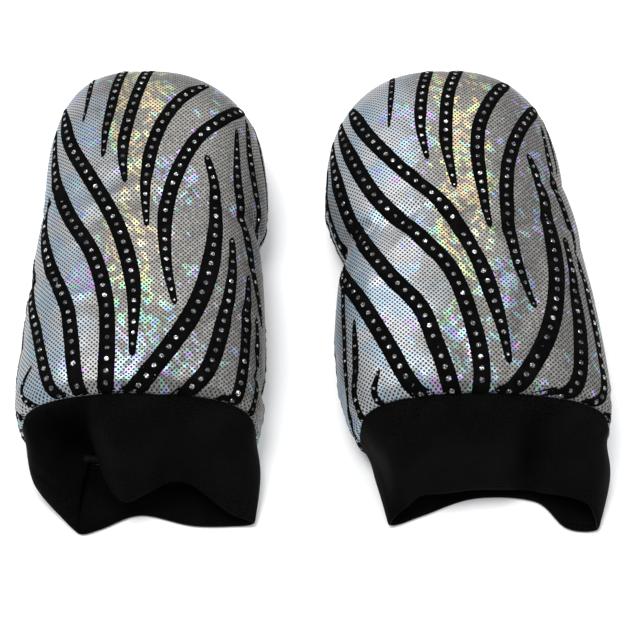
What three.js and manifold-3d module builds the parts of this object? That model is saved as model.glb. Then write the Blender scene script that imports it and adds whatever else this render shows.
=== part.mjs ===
// A pair of slip-on stirrup covers for a riding saddle, lying side by side on their backs.
// Each cover is a bag: two outer panels and two padded lining panels joined by a U-shaped side seam,
// and a double-layer stretch cuff round its mouth. Millimetres, +Z up, +Y towards the closed round ends.
// The origin is on the ground, in the middle of the pair.
import * as THREE from "three";
import { LoftGeometry } from "three/addons/geometries/LoftGeometry.js";
import { mergeVertices } from "three/addons/utils/BufferGeometryUtils.js";
import Module from "manifold-3d";

const wasm = await Module();
wasm.setup();

// Driving dimensions of one cover.
const bagLength = 250; // mouth seam to closed end
const cuffLength = 49; // mouth seam to hem corners
const bagHeight = 66; // crown above the ground
const mouthHeight = 57; // crown at the mouth seam
const widestHeight = 28; // height of the bag's widest line
const shoulderLength = 20; // from the mouth seam to full height
const domeLength = 66; // rounding of the crown at the closed end
const mouthLean = 0.28; // the mouth seam's plane leans back this far for each unit of height
const centreSpacing = 180; // between the two covers' centrelines

// Cloth thicknesses and gaps.
const panelThickness = 1.0; // foil-dot stretch cloth
const liningThickness = 5.2; // padded fleece
const seamThickness = 1.0; // flat overlocked side seam
const seamWidth = 4.9;
const seamHeight = 18; // the side seam's height above the ground
const cuffWall = 1.0; // one layer of cuff knit
const cuffGap = 0.5; // between the cuff's two layers
const rollLength = 4; // overlocked roll at the mouth seam
const rollThickness = 2;
const cuffSeamWidth = 5; // overlocked seam that closes the cuff into a ring
const cuffSeamThickness = 1.6;
const clearance = 0.3; // between neighbouring pieces
const foldRoom = 0.7; // between the cuff's inner face and the seams that lie on it

// Each side's half-width, as [distance from the mouth seam, half-width]: past its last station the side rounds
// towards the closed end. tipShift moves the closed end sideways.
const leftCover = {
  name: "left",
  left: [[0, 65], [14, 70.5], [60, 73], [120, 72.5], [178, 70]],
  right: [[0, 64], [14, 66.5], [60, 66], [120, 63.5], [160, 65.5]],
  hem: { left: 37, right: 63, top: 14 },
  tipShift: -12,
};
const rightCover = {
  name: "right",
  left: [[0, 61], [14, 69], [60, 73], [110, 70.5], [160, 77], [182, 77]],
  right: [[0, 76], [14, 78.5], [60, 77], [120, 72], [162, 68]],
  hem: { left: 46, right: 68, top: 14 },
  tipShift: 0,
};

// Shape constants of the sections.
const crownPower = 2.5; // squareness of the crown's arch
const basePower = 3.2; // squareness below the widest line
const baseOverreach = 1.12; // how far the arch would pass below the ground, which flattens the base
const domePower = 2.3; // roundness of the closed end in plan and in side view
const ringPoints = 28;
const straightStations = 6;
const mouthCrowding = 1.5; // how much closer the stations stand near the mouth
const domeStations = 7;
const domeStop = 0.95; // the closed end's cap stands this share of a quarter turn round
const hemSetBack = 13; // the middle of the hem lies this much short of its corners
const cuffStations = 5;

// Half-width of one side at a distance y from the mouth seam, with the closed end at `end`.
function halfWidth(side, y, end) {
  const distances = side.map((station) => station[0]);
  const widths = side.map((station) => station[1]);
  const domeStart = distances[distances.length - 1];
  const curve = new THREE.CubicInterpolant(distances, widths, 1, new Float64Array(1));
  const width = curve.evaluate(THREE.MathUtils.clamp(y, 0, domeStart))[0];
  const t = THREE.MathUtils.clamp((y - domeStart) / (end - domeStart), 0, 1);
  return { width, rounding: (1 - t ** domePower) ** (1 / domePower) };
}

// cos or sin raised to a power, keeping its sign.
function signedPower(value, power) {
  return Math.sign(value) * Math.abs(value) ** power;
}

// The leaning plane of the mouth seam: the offset along Y at a height z.
function lean(z) {
  return mouthLean * (z - widestHeight);
}

// One closed section of the bag, `inset` inside its outer face, at distance y from the mouth seam.
function bagSection(cover, y, inset) {
  const end = bagLength - inset;
  const left = halfWidth(cover.left, y, end);
  const right = halfWidth(cover.right, y, end);
  const t = THREE.MathUtils.clamp((y - (bagLength - domeLength)) / (domeLength - inset), 0, 1);
  const rounding = (1 - t ** domePower) ** (1 / domePower);
  const rise = THREE.MathUtils.clamp(y / shoulderLength, 0, 1);
  const crown = mouthHeight + (bagHeight - mouthHeight) * Math.sqrt(1 - (1 - rise) ** 2) - inset;
  const leanShare = THREE.MathUtils.clamp(1 - y / bagLength, 0, 1);
  const points = [];
  for (let i = 0; i < ringPoints; i++) {
    const angle = (-2 * Math.PI * i) / ringPoints;
    const across = signedPower(Math.cos(angle), 2 / crownPower);
    const side = across > 0 ? right : left;
    const x = across * (side.width - inset) * side.rounding + cover.tipShift * t * t;
    const up = Math.sin(angle);
    const z =
      up > 0
        ? widestHeight + (crown - widestHeight) * rounding * up ** (2 / crownPower)
        : widestHeight - (widestHeight - inset) * rounding * Math.min(1, baseOverreach * (-up) ** (2 / basePower));
    points.push(new THREE.Vector3(x, y + lean(z) * leanShare, z));
  }
  return points;
}

// The solid inside the bag's surface at `inset`, running on past the mouth seam so that a cut can trim it.
function bagForm(cover, inset) {
  const past = 30;
  const straight = bagLength - domeLength;
  const sections = [bagSection(cover, -past, inset)];
  for (let i = 0; i < straightStations; i++) {
    const share = (i / straightStations) ** mouthCrowding;
    sections.push(bagSection(cover, straight * share, inset));
  }
  for (let i = 0; i <= domeStations; i++) {
    const turn = (i / domeStations) * domeStop * (Math.PI / 2);
    sections.push(bagSection(cover, straight + (domeLength - inset) * Math.sin(turn), inset));
  }
  return solidOf(new LoftGeometry(sections, { capStart: true, capEnd: true }));
}

// A closed three.js geometry as a manifold-3d solid.
function solidOf(geometry) {
  geometry.deleteAttribute("normal");
  geometry.deleteAttribute("uv");
  const merged = mergeVertices(geometry, 1e-4);
  const corners = merged.index.array;
  const kept = [];
  for (let i = 0; i < corners.length; i += 3) {
    const [a, b, c] = [corners[i], corners[i + 1], corners[i + 2]];
    if (a !== b && b !== c && a !== c) kept.push(a, b, c);
  }
  return new wasm.Manifold(
    new wasm.Mesh({
      numProp: 3,
      vertProperties: new Float32Array(merged.attributes.position.array),
      triVerts: new Uint32Array(kept),
    }),
  );
}

// A manifold-3d solid as a three.js geometry.
function geometryOf(solid) {
  const mesh = solid.getMesh();
  const geometry = new THREE.BufferGeometry();
  geometry.setAttribute("position", new THREE.BufferAttribute(mesh.vertProperties, 3));
  geometry.setIndex(new THREE.BufferAttribute(mesh.triVerts, 1));
  geometry.computeVertexNormals();
  return geometry;
}

// A box between two corners, as a solid.
function boxBetween(low, high) {
  const size = new THREE.Vector3().subVectors(high, low);
  const geometry = new THREE.BoxGeometry(size.x, size.y, size.z);
  geometry.translate((low.x + high.x) / 2, (low.y + high.y) / 2, (low.z + high.z) / 2);
  return solidOf(geometry);
}

const reach = 400; // larger than any piece

// Everything on the bag's side of the mouth seam, `gap` clear of its leaning plane.
function beyondMouth(gap) {
  const geometry = new THREE.BoxGeometry(reach, reach, reach);
  geometry.translate(0, reach / 2 + gap, 0);
  geometry.rotateX(-Math.atan(mouthLean));
  geometry.translate(0, 0, widestHeight);
  return solidOf(geometry);
}

// Everything between two heights.
function slab(low, high) {
  return boxBetween(new THREE.Vector3(-reach, -reach, low), new THREE.Vector3(reach, reach, high));
}

// The wall between two insets of the bag, trimmed at the mouth seam.
function bagWall(cover, outerInset, innerInset) {
  return bagForm(cover, outerInset).subtract(bagForm(cover, innerInset)).intersect(beyondMouth(clearance / 2));
}

// Insets at which each layer starts and ends.
const liningOuter = panelThickness + clearance;
const liningInner = liningOuter + liningThickness;
const rollOuter = liningInner + clearance;
const rollInner = rollOuter + rollThickness;
const cuffInner = 2 * cuffWall + cuffGap;
const cuffSeamOuter = cuffInner + foldRoom;

function outerPanels(cover) {
  const wall = bagWall(cover, 0, panelThickness);
  return {
    top_panel: wall.intersect(slab(seamHeight + clearance / 2, reach)),
    bottom_panel: wall.intersect(slab(-reach, seamHeight - clearance / 2)),
  };
}

function liningPanels(cover) {
  const wall = bagWall(cover, liningOuter, liningInner);
  const half = seamThickness / 2 + clearance;
  return {
    top_lining: wall.intersect(slab(seamHeight + half, reach)),
    bottom_lining: wall.intersect(slab(-reach, seamHeight - half)),
  };
}

// The seam allowance that joins the panels, a flat U between the two linings.
function sideSeam(cover) {
  const strip = bagWall(cover, liningOuter, liningOuter + seamWidth);
  return strip.intersect(slab(seamHeight - seamThickness / 2, seamHeight + seamThickness / 2));
}

// One point of the cuff, `share` of the way from the mouth seam to the hem.
function cuffPoint(cover, angle, share, inset) {
  const across = signedPower(Math.cos(angle), 2 / THREE.MathUtils.lerp(crownPower, 2, share));
  const side = across > 0 ? "right" : "left";
  const width = THREE.MathUtils.lerp(halfWidth(cover[side], 0, bagLength).width, cover.hem[side], share);
  const ease = THREE.MathUtils.smoothstep(share, 0, 1);
  const crown = THREE.MathUtils.lerp(mouthHeight, cover.hem.top, ease);
  const middle = THREE.MathUtils.lerp(widestHeight, cover.hem.top / 2, ease);
  const up = Math.sin(angle);
  const z =
    up > 0
      ? middle + (crown - inset - middle) * up ** (2 / crownPower)
      : middle - (middle - inset) * Math.min(1, baseOverreach * (-up) ** (2 / basePower));
  const hem = -cuffLength + hemSetBack * (1 - across * across);
  return new THREE.Vector3(across * (width - inset), THREE.MathUtils.lerp(lean(z) - clearance / 2, hem, share), z);
}

// Where the cuff's sections stand, as shares of its length: the first span is as long as the mouth roll.
const rollShare = rollLength / cuffLength;
const cuffShares = [0];
for (let i = 0; i <= cuffStations; i++) {
  cuffShares.push(THREE.MathUtils.lerp(rollShare, 1, i / cuffStations));
}

// The points of a profile that follow the cuff at one inset, from one station to another.
function cuffRun(inset, from, to) {
  const shares = cuffShares.slice(Math.min(from, to), Math.max(from, to) + 1);
  const run = shares.map((share) => ({ share, inset }));
  return from < to ? run : run.reverse();
}

// One closed profile of { share, inset } points, set round the mouth at each of the angles.
function profilesAt(cover, profile, angles) {
  return angles.map((angle) => profile.map((p) => cuffPoint(cover, angle, p.share, p.inset)));
}

// A ring lofted all the way round the mouth.
function mouthRing(cover, profile) {
  const angles = [];
  for (let i = 0; i <= ringPoints; i++) {
    angles.push((-2 * Math.PI * (i % ringPoints)) / ringPoints);
  }
  return solidOf(new LoftGeometry(profilesAt(cover, profile, angles)));
}

// The cuff band is one strip of knit folded in half at the hem, open at the mouth seam.
function cuffBand(cover) {
  const hem = cuffShares.length - 1;
  const foldEnd = 1 - cuffWall / cuffLength;
  return mouthRing(cover, [
    ...cuffRun(0, 0, hem),
    ...cuffRun(cuffInner, hem, 0),
    ...cuffRun(cuffInner - cuffWall, 0, hem - 1),
    { share: foldEnd, inset: cuffInner - cuffWall },
    { share: foldEnd, inset: cuffWall },
    ...cuffRun(cuffWall, hem - 1, 0),
  ]);
}

// The rolled seam allowance inside the mouth: it lies on the lining, hooks round its edge and backs the cuff.
function mouthRoll(cover) {
  const onLining = bagForm(cover, rollOuter).subtract(bagForm(cover, rollInner));
  const reachesBack = onLining.intersect(beyondMouth(-rollLength / 2)).subtract(beyondMouth(rollLength));
  return reachesBack.add(mouthRing(cover, [...cuffRun(cuffSeamOuter, 0, 1), ...cuffRun(rollInner, 1, 0)]));
}

// The short seam that closes the cuff into a ring, on the inside at its right edge.
function cuffSeam(cover) {
  const inner = cuffSeamOuter + cuffSeamThickness;
  const ring = mouthRing(cover, [...cuffRun(cuffSeamOuter, 2, cuffStations), ...cuffRun(inner, cuffStations, 2)]);
  const rise = cuffPoint(cover, Math.PI / 2, 0.5, 0).z - cuffPoint(cover, 0, 0.5, 0).z;
  const halfAngle = Math.asin((cuffSeamWidth / 2 / rise) ** (crownPower / 2));
  const wedge = [
    { share: 0, inset: 0 },
    { share: 1, inset: 0 },
    { share: 1, inset: inner + cuffSeamThickness },
    { share: 0, inset: inner + cuffSeamThickness },
  ];
  const cutter = new LoftGeometry(profilesAt(cover, wedge, [halfAngle, 0, -halfAngle]), {
    capStart: true,
    capEnd: true,
  });
  return ring.intersect(solidOf(cutter));
}

const foilCloth = new THREE.MeshStandardMaterial({ color: 0xb9b7b2, roughness: 0.35, metalness: 0.6 });
const fleece = new THREE.MeshStandardMaterial({ color: 0x1b1b1d, roughness: 0.95, metalness: 0 });
const cuffKnit = new THREE.MeshStandardMaterial({ color: 0x0b0b0c, roughness: 0.8, metalness: 0 });
const thread = new THREE.MeshStandardMaterial({ color: 0x141414, roughness: 0.7, metalness: 0 });

function stirrupCover(cover) {
  const group = new THREE.Group();
  const pieces = [
    [outerPanels(cover), foilCloth],
    [liningPanels(cover), fleece],
    [{ side_seam: sideSeam(cover), mouth_roll: mouthRoll(cover), cuff_seam: cuffSeam(cover) }, thread],
    [{ cuff_band: cuffBand(cover) }, cuffKnit],
  ];
  for (const [solids, material] of pieces) {
    for (const [name, solid] of Object.entries(solids)) {
      const mesh = new THREE.Mesh(geometryOf(solid), material);
      mesh.name = `${cover.name}_${name}`;
      group.add(mesh);
    }
  }
  return group;
}

const pair = new THREE.Group();
[leftCover, rightCover].forEach((cover, index) => {
  const group = stirrupCover(cover);
  group.position.x = (index - 0.5) * centreSpacing;
  pair.add(group);
});

// The origin is on the ground under the middle of the pair, whatever the two outlines are.
const middle = new THREE.Box3().setFromObject(pair).getCenter(new THREE.Vector3());
pair.position.set(-middle.x, -middle.y, 0);

export default pair;
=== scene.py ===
import math
import bpy, bmesh
import numpy as np
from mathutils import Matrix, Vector


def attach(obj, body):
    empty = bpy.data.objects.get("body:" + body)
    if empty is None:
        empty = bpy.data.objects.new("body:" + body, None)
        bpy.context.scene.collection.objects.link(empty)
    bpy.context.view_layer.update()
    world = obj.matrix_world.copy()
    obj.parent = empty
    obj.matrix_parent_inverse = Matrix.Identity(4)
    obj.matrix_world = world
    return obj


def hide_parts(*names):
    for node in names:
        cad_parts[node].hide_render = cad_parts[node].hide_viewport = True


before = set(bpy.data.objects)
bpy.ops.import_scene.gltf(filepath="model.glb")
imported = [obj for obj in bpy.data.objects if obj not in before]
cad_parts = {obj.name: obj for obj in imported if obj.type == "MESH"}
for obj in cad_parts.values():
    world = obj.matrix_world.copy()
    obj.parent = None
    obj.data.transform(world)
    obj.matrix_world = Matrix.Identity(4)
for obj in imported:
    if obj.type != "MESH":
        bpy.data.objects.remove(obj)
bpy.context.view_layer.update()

MM = 0.001


# ---------------------------------------------------------------------------
# Camera, floor and light. The covers lie on a pale floor and are seen from
# above their cuffs. Soft panels light them from above, so that the foil
# shows broad pale reflections and the black cuffs keep a little shape.
camera = bpy.data.objects.new("camera", bpy.data.cameras.new("camera"))
bpy.context.scene.collection.objects.link(camera)
camera.location = (0.00235, -0.38077, 0.61973)
camera.rotation_euler = (math.radians(31.0), 0.0, 0.0)
camera.data.sensor_width = 36.0
camera.data.lens = 68.34
camera.data.clip_start = 0.01
camera.data.clip_end = 20.0
bpy.context.scene.camera = camera


def as_piece(shape, name):
    """Puts a finished shape in the scene, smoothly shaded."""
    mesh = bpy.data.meshes.new(name)
    shape.to_mesh(mesh)
    shape.free()
    mesh.shade_smooth()
    piece = bpy.data.objects.new(name, mesh)
    bpy.context.scene.collection.objects.link(piece)
    return piece


floor_shape = bmesh.new()
bmesh.ops.create_grid(floor_shape, x_segments=8, y_segments=8, size=3.0)
floor = as_piece(floor_shape, "floor")

floor_paint = bpy.data.materials.new("floor_paint")
floor_paint.use_nodes = True
paint = floor_paint.node_tree.nodes["Principled BSDF"]
paint.inputs["Base Color"].default_value = (0.92, 0.92, 0.92, 1.0)
paint.inputs["Roughness"].default_value = 0.9
floor.data.materials.append(floor_paint)

sky = bpy.data.worlds.new("studio")
bpy.context.scene.world = sky
sky.use_nodes = True
glow = sky.node_tree.nodes["Background"]
glow.inputs["Color"].default_value = (0.95, 0.97, 1.0, 1.0)
glow.inputs["Strength"].default_value = 0.5
bpy.context.scene.view_settings.view_transform = "Standard"

for name, place, size, power in (
    ("key_panel", (-0.35, 0.1, 1.25), 0.7, 15.0),
    ("fill_panel", (0.85, -0.45, 0.95), 0.9, 5.0),
    ("back_panel", (0.1, 1.0, 1.0), 0.8, 7.0),
):
    panel = bpy.data.lights.new(name, "AREA")
    panel.size = size
    panel.energy = power
    lamp = bpy.data.objects.new(name, panel)
    bpy.context.scene.collection.objects.link(lamp)
    lamp.location = place
    lamp.rotation_euler = (Vector((0.0, 0.0, 0.02)) - Vector(place)).to_track_quat("-Z", "Y").to_euler()


# ---------------------------------------------------------------------------
# Bag form. Both covers are cut to one pattern, a top panel and a flatter
# bottom panel sewn together at the sides and round the closed end. The
# filled bag is high in the middle, with sides that pull in over the base.
LENGTH, CROWN, MOUTH_CROWN, WIDEST, SEAM_HEIGHT = 251.0, 66.0, 57.0, 28.0, 18.0
SHOULDER, DOME, LEAN, MOUTH, ROUND_END = 18.0, 62.0, 0.28, -100.4, 2.3
COVERS = {
    "left": dict(
        middle=-92.65, tip=-14.0,
        left_side=[(0, 65), (10, 68.5), (30, 69.5), (60, 69.5), (115, 68.5), (135, 67.5), (150, 68), (176, 69)],
        right_side=[(0, 64), (14, 66.5), (50, 66.5), (85, 65), (112, 63), (124, 59.5), (134, 65), (148, 65.5)]),
    "right": dict(
        middle=87.35, tip=-1.0,
        left_side=[(0, 61), (8, 66), (30, 72), (60, 73.5), (92, 71.5), (102, 68), (112, 65.5), (124, 71.5),
                   (138, 76), (150, 79), (156, 78)],
        right_side=[(0, 76), (14, 77.5), (45, 77), (80, 75), (115, 71.5), (132, 70.5), (150, 67), (158, 65.5)]),
}
HALF_TOP, HALF_BASE, STRAIGHT_ROWS, DOME_ROWS = 24, 18, 44, 24
AROUND, ALONG = 2 * HALF_TOP + 2 * HALF_BASE, STRAIGHT_ROWS + DOME_ROWS
COLUMN, ROW = 4.0, 4.3  # usual width of a column and height of a row


def side_width(points, y):
    stations, widths = zip(*points)
    reach = np.linspace(-5.0, 5.0, 11)
    width = np.mean([np.interp(y + r, stations, widths) for r in reach])
    past = max(0.0, (y - stations[-1]) / (LENGTH - stations[-1]))
    return width * (1.0 - min(1.0, past) ** ROUND_END) ** (1 / ROUND_END)


def bag_ring(cover, y, angle):
    """Points round the bag at one distance from the mouth, in millimetres."""
    cut = COVERS[cover]
    past = min(1.0, max(0.0, (y - (LENGTH - DOME)) / DOME))
    rise = min(1.0, y / SHOULDER)
    shrink = (1.0 - past ** ROUND_END) ** (1 / ROUND_END)
    crown = MOUTH_CROWN + (CROWN - MOUTH_CROWN) * math.sqrt(1 - (1 - rise) ** 2)
    wide = SEAM_HEIGHT + (WIDEST - SEAM_HEIGHT) * shrink
    c, s = np.cos(angle), np.sin(angle)
    reach = np.sign(c) * np.abs(c) ** 0.8
    x = np.where(reach > 0, reach * side_width(cut["right_side"], y), reach * side_width(cut["left_side"], y))
    z = np.where(s > 0, wide + (crown - wide) * shrink * np.abs(s) ** 0.8,
                 wide - wide * shrink * np.minimum(1.0, 1.12 * np.abs(s) ** 0.625))
    return np.stack([x + cut["middle"] + cut["tip"] * past ** 2,
                     y + MOUTH + LEAN * (z - WIDEST) * (1 - y / LENGTH), z], -1)


def even_steps(line, count):
    run = np.r_[0, np.cumsum(np.linalg.norm(np.diff(line, axis=0), axis=1))]
    return np.stack([np.interp(np.linspace(0, run[-1], count + 1), run, line[:, k]) for k in range(3)], -1)[:-1]


seam_angle = math.asin(((WIDEST - SEAM_HEIGHT) / WIDEST / 1.12) ** 1.6)
row_stations = list(np.linspace(0, LENGTH - DOME, STRAIGHT_ROWS + 1)[:-1])
row_stations += list(LENGTH - DOME + DOME * np.sin(np.linspace(0, math.pi / 2, DOME_ROWS + 1)))
quarters = [(math.pi + seam_angle, math.pi / 2, HALF_TOP), (math.pi / 2, -seam_angle, HALF_TOP),
            (-seam_angle, -math.pi / 2, HALF_BASE), (-math.pi / 2, -math.pi + seam_angle, HALF_BASE)]
FORMS = {}
for cover in COVERS:
    FORMS[cover] = np.array([
        np.concatenate([even_steps(bag_ring(cover, y, np.linspace(a, b, 161)), n) for a, b, n in quarters])
        for y in row_stations])


# The filled bag is then let go as cloth: held at the mouth and lightly at the
# base, blown from inside, with spare cloth by the mouth that gathers there.
AIR_STEPS, FURTHEST_MOVE = 20, 3.5


def fill_with_air(cover):
    shape = bmesh.new()
    bmesh.ops.create_grid(shape, x_segments=AROUND, y_segments=ALONG, size=0.5)
    column, row = shape.verts.layers.int.new("column"), shape.verts.layers.int.new("row")
    for v in shape.verts:
        v[column], v[row] = round((v.co.x + 0.5) * AROUND) % AROUND, round((v.co.y + 0.5) * ALONG)
        v.co = FORMS[cover][v[row], v[column]] * MM
    bmesh.ops.remove_doubles(shape, verts=shape.verts, dist=1e-6)
    bag = as_piece(shape, cover + "_air")
    mesh = bag.data
    rows = np.array([d.value for d in mesh.attributes["row"].data])
    columns = np.array([d.value for d in mesh.attributes["column"].data])
    before = np.array([v.co for v in mesh.vertices])
    held, loose = bag.vertex_groups.new(name="held"), bag.vertex_groups.new(name="spare")
    for v in mesh.vertices:
        grip = 1.0 if rows[v.index] < 1 else 0.4 if v.co.z < 0.004 else 0.12
        held.add([v.index], grip, "REPLACE")
        loose.add([v.index], max(0.0, 1.0 - rows[v.index] / 12.0), "REPLACE")
    cloth = bag.modifiers.new("Cloth", "CLOTH")
    settings = cloth.settings
    settings.quality = 5
    settings.mass = 0.25
    settings.tension_stiffness = settings.compression_stiffness = 25.0
    settings.shear_stiffness = 8.0
    settings.bending_stiffness = 0.4
    settings.vertex_group_mass = "held"
    settings.use_pressure = True
    settings.uniform_pressure_force = 1.4
    settings.vertex_group_shrink = "spare"
    settings.shrink_min, settings.shrink_max = -0.01, -0.12
    settings.effector_weights.gravity = 0.0
    cloth.point_cache.frame_start, cloth.point_cache.frame_end = 1, AIR_STEPS
    for step in range(1, AIR_STEPS + 1):
        bpy.context.scene.frame_set(step)
    filled = bag.evaluated_get(bpy.context.evaluated_depsgraph_get()).to_mesh()
    after = np.array([v.co for v in filled.vertices])
    bpy.context.scene.frame_set(1)
    move = after - before
    size = np.linalg.norm(move, axis=1, keepdims=True)
    move *= np.minimum(1.0, FURTHEST_MOVE * MM / np.maximum(size, 1e-9))
    move[:, 2] = np.maximum(move[:, 2], -before[:, 2])
    result = FORMS[cover].copy()
    result[rows, columns] = (before + move) / MM
    result[ALONG, :] = result[ALONG, columns[rows == ALONG][0]]
    bpy.data.objects.remove(bag)
    return result


for cover in COVERS:
    FORMS[cover] = fill_with_air(cover)


def easing(t):
    """Shares of four neighbouring points in a smooth curve through them."""
    return np.stack([-t + 2 * t ** 2 - t ** 3, 2 - 5 * t ** 2 + 3 * t ** 3,
                     t + 4 * t ** 2 - 3 * t ** 3, t ** 3 - t ** 2]) / 2


def on_cloth(cover, around, along, lift=0.0):
    """Points on a bag's outer face, lifted off it, in millimetres. Around runs
    in columns from the left seam over the crown, and along in rows."""
    form = FORMS[cover]

    def face(a, b):
        b = np.clip(b, 0.0, ALONG - 1e-6)
        j, i = np.floor(a).astype(int), np.floor(b).astype(int)
        wa, wb = easing(a - j), easing(b - i)
        return sum(wb[m][..., None] * wa[n][..., None] * form[np.clip(i + m - 1, 0, ALONG), (j + n - 1) % AROUND]
                   for m in range(4) for n in range(4))

    around, along = np.broadcast_arrays(np.asarray(around, float), np.asarray(along, float))
    point = face(around, along)
    if np.any(lift):
        near = np.clip(along, 0.15, ALONG - 0.8)
        out = np.cross(face(around + 0.1, near) - face(around - 0.1, near),
                       face(around, near + 0.1) - face(around, near - 0.1))
        out /= np.linalg.norm(out, axis=-1, keepdims=True)
        end = np.clip((along - ALONG + 2.5) / 2.0, 0, 1)[..., None]
        out = out * (1 - end) + np.array([0.0, 1.0, 0.0]) * end
        point = point + out * np.asarray(lift)[..., None]
        point[..., 2] = np.maximum(point[..., 2], np.maximum(0.0, 0.5 + np.asarray(lift)))
    return point


def soft_noise(across, along, size, seed=0.0):
    """A smooth wavering between -1 and 1, the same on each run."""
    a, b = across / size + seed, along / size - 1.7 * seed
    return (np.sin(a * 1.9 + 1.3 * np.sin(b * 1.1 + seed)) + np.sin(b * 2.3 + 1.7 * np.sin(a * 0.9 - seed))
            + np.sin(1.3 * a + 1.6 * b + 2.0 * seed)) / 3.0


def sewn_patch(name, columns, rows, place, close_end=False, wrap=False):
    """A grid of cloth whose corners are set by place(u, v), in millimetres."""
    shape = bmesh.new()
    shape.loops.layers.uv.new("flat")
    bmesh.ops.create_grid(shape, x_segments=columns, y_segments=rows, size=0.5, calc_uvs=True)
    spots = np.array([v.co for v in shape.verts])
    u, v = spots[:, 0] + 0.5, spots[:, 1] + 0.5
    points = place(u, v)
    if close_end:
        points[v > 0.99999] = points[v > 0.99999].mean(axis=0)
    for vert, point in zip(shape.verts, points):
        vert.co = point * MM
    if close_end or wrap:
        bmesh.ops.remove_doubles(shape, verts=shape.verts, dist=2e-6)
    return as_piece(shape, name)


def thicken(piece, thickness, offset=-1.0):
    wall = piece.modifiers.new("wall", "SOLIDIFY")
    wall.thickness = thickness * MM
    wall.offset = offset
    wall.use_even_offset = False
    return wall


# ---------------------------------------------------------------------------
# Foil cloth. The top and bottom panels are stretch cloth printed with silver
# foil, with a net of small dark dots, and holographic flakes, their colours
# painted on as glints. Their edges turn in at the seams and at the cuff.
CLOTH_THICK, TURN_IN = 0.9, 1.9
UV_WIDTH = 300.0
EDGE_FINER, MOUTH_FINER = 0.62, 1.3


def lay_flat(cover, first, width):
    """Unwraps the plain form of one panel, and returns the flat place of each
    second column and row, true to size, with the bag's length upwards."""
    plain = sewn_patch("plain", width // 2, ALONG // 2, lambda u, v: on_cloth(cover, first + width * u, ALONG * v),
                       close_end=True)
    mesh = plain.data
    count = len(mesh.loops)
    grid, flat = np.empty(count * 2), np.empty(count * 2)
    mesh.uv_layers.active.uv.foreach_get("vector", grid)
    bpy.context.view_layer.objects.active = plain
    plain.select_set(True)
    bpy.ops.object.mode_set(mode="EDIT")
    bpy.ops.mesh.select_all(action="SELECT")
    bpy.ops.uv.unwrap(method="MINIMUM_STRETCH", iterations=30, margin=0.0)
    bpy.ops.object.mode_set(mode="OBJECT")
    mesh = plain.data
    mesh.uv_layers.active.uv.foreach_get("vector", flat)
    grid, flat = grid.reshape(-1, 2), flat.reshape(-1, 2)
    turn = np.linalg.lstsq(grid - grid.mean(0), flat - flat.mean(0), rcond=None)[0]
    angle = math.atan2(turn[1, 0], turn[1, 1])
    c, s = math.cos(angle), math.sin(angle)
    flat = (flat - flat.mean(0)) @ np.array([[c, s], [-s, c]])
    if np.linalg.det(turn) < 0:
        flat[:, 0] *= -1
    real = sum(p.area for p in mesh.polygons)
    follow = np.arange(count) + 1
    for p in mesh.polygons:
        follow[p.loop_start + p.loop_total - 1] = p.loop_start
    mapped = 0.5 * abs((flat[:, 0] * flat[follow, 1] - flat[follow, 0] * flat[:, 1]).sum())
    flat *= math.sqrt(real / mapped) / MM / UV_WIDTH
    flat += [0.5, 0.05 - flat[:, 1].min()]
    table = np.zeros((ALONG // 2 + 1, width // 2 + 1, 2))
    table[np.rint(grid[:, 1] * ALONG / 2).astype(int), np.rint(grid[:, 0] * width / 2).astype(int)] = flat
    table[ALONG // 2] = flat[grid[:, 1] > 0.999].mean(axis=0)
    bpy.data.objects.remove(plain)
    return table


def relief(around, along):
    """How far the cloth stands off the plain form: turned in at the seams and
    the cuff, crimped beside them, and slightly uneven elsewhere."""
    a, b = around * COLUMN, along * ROW
    side = COLUMN * np.minimum(np.abs((around + AROUND / 2) % AROUND - AROUND / 2), np.abs(around - 2 * HALF_TOP))
    edge = np.minimum(side, b)
    wave = soft_noise(a, b, 9.0, 1.0)
    crimp = np.sin(a * 2 * np.pi / 8.0 + 2.5 * wave) * np.exp(-b / 8.0) * 0.34 * np.clip(b / 1.5, 0, 1)
    crimp = crimp + np.sin(b * 2 * np.pi / 8.5 + 2.0 * wave) * np.exp(-side / 6.0) * 0.26 * np.clip(side / 1.5, 0, 1)
    slack = 0.16 * soft_noise(a, b, 24.0, 3.0) * np.clip(edge / 10.0, 0, 1)
    return -TURN_IN * np.exp(-(edge / 1.3) ** 2) + crimp + slack


def cloth_panel(cover, name, first, width, columns, rows):
    """One panel, from column first over width columns, with finer cells at its
    edges, where it turns in and puckers."""
    def spread(u, v):
        return width * (u - EDGE_FINER * np.sin(2 * np.pi * u) / (2 * np.pi)), ALONG * v ** MOUTH_FINER

    def place(u, v):
        across, along = spread(u, v)
        return on_cloth(cover, first + across, along, relief(first + across, along))

    piece = sewn_patch(name, columns, rows, place, close_end=True)
    table = lay_flat(cover, first, width)
    spots = np.empty(len(piece.data.loops) * 2)
    layer = piece.data.uv_layers.active.uv
    layer.foreach_get("vector", spots)
    across, along = spread(*spots.reshape(-1, 2).T)
    a, b = np.clip(across, 0, width - 1e-6) / 2, np.clip(along, 0, ALONG - 1e-6) / 2
    i, j = a.astype(int), b.astype(int)
    s, t = (a - i)[:, None], (b - j)[:, None]
    near_side = table[j, i] * (1 - s) + table[j, i + 1] * s
    far_side = table[j + 1, i] * (1 - s) + table[j + 1, i + 1] * s
    flat = near_side * (1 - t) + far_side * t
    layer.foreach_set("vector", flat.ravel())
    thicken(piece, CLOTH_THICK)
    return piece


top_cloths, base_cloths = {}, {}
for cover in COVERS:
    top = top_cloths[cover] = cloth_panel(cover, cover + "_top_cloth", 0, 2 * HALF_TOP, 130, 150)
    base = base_cloths[cover] = cloth_panel(cover, cover + "_bottom_cloth", 2 * HALF_TOP, 2 * HALF_BASE, 90, 120)
    for piece, node in ((top, "_top_panel"), (base, "_bottom_panel")):
        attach(piece, cover + "_cover")
        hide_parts(cover + node)


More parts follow.
